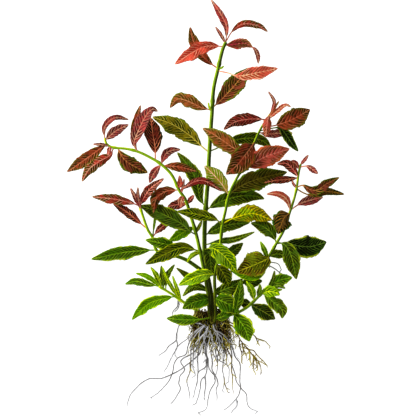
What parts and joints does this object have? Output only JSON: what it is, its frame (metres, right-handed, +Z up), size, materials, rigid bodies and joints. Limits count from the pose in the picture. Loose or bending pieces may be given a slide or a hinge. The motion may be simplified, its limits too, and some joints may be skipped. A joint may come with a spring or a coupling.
{
  "type": "sunset hygrophila plant",
  "caption": "Bare-rooted aquarium stem plant lying flat: forking stems with red, olive and green veined leaves, and a spread clump of roots.",
  "frame": {"origin": "on the flat underside of the root clump, below the crown where the stems leave it", "axes": "+Y along the main stem from the crown to the growing tip, +X across the plant, +Z up from the surface that it lies on"},
  "size_m": [0.2787, 0.4153, 0.0555],
  "materials": {
    "stem": "smooth, slightly glossy yellow-green",
    "rose": "soft satin, rose red with pale pink veins",
    "coral": "soft satin, salmon orange with pale veins",
    "crimson": "satin, dark crimson with pink veins",
    "umber": "satin, dark red-brown with rosy veins",
    "olive": "satin, brown-olive with orange veins",
    "amber": "satin, yellow-olive with yellow veins",
    "green": "satin, leaf green with lighter veins",
    "dark": "satin, deep green with lighter veins",
    "lime": "satin, bright yellow-green with yellow veins",
    "root": "dull, earthy brown with grey-white roots"
  },
  "bodies": {
    "root": {"main_stem": "stem", "left_branch": "stem", "low_left_branch": "stem", "centre_branch": "stem", "right_branch": "stem", "low_right_branch": "stem", "low_left_shoot": "stem", "roots": "root", "leaf_top_spear": "rose", "leaf_top_arched": "rose", "leaf_top_purple": "crimson", "leaf_top_coral": "coral", "leaf_top_olive": "olive", "leaf_top_rose": "rose", "leaf_top_umber": "umber", "leaf_top_drooping": "olive", "leaf_gold": "amber", "leaf_green_behind": "green", "leaf_green_upright": "green", "leaf_green_right": "dark", "leaf_dark_middle": "dark", "leaf_lime_middle": "lime", "leaf_olive_rose": "olive", "leaf_umber_broad": "umber", "leaf_pink_broad": "rose", "leaf_amber_green": "olive", "leaf_pale_pink": "olive", "leaf_crimson_left": "crimson", "leaf_red_hanging": "rose", "leaf_olive_broad": "olive", "leaf_olive_left": "olive", "leaf_amber_right": "amber", "leaf_olive_dark_inner": "dark", "leaf_dark_inner_right": "dark", "leaf_lime_left": "lime", "leaf_maroon_left": "crimson", "leaf_pink_folded": "rose", "leaf_umber_left": "umber", "leaf_rose_left": "rose", "leaf_far_left": "rose", "leaf_olive_hooked": "olive", "leaf_dark_left": "dark", "leaf_green_left": "green", "leaf_brown_left": "olive", "leaf_low_left_long": "green", "leaf_low_left_short": "green", "leaf_red_far": "rose", "leaf_maroon_far": "crimson", "leaf_pink_upright": "rose", "leaf_right_arched": "dark", "leaf_right_long": "dark", "leaf_right_hanging": "green", "leaf_oval": "olive", "leaf_round_dark": "umber", "leaf_right_bent": "umber", "leaf_front_left": "green", "leaf_front_right": "green", "leaf_low_left_big": "green", "leaf_low_right_hanging": "green", "leaf_low_right_dark": "dark"}
  },
  "joints": []
}
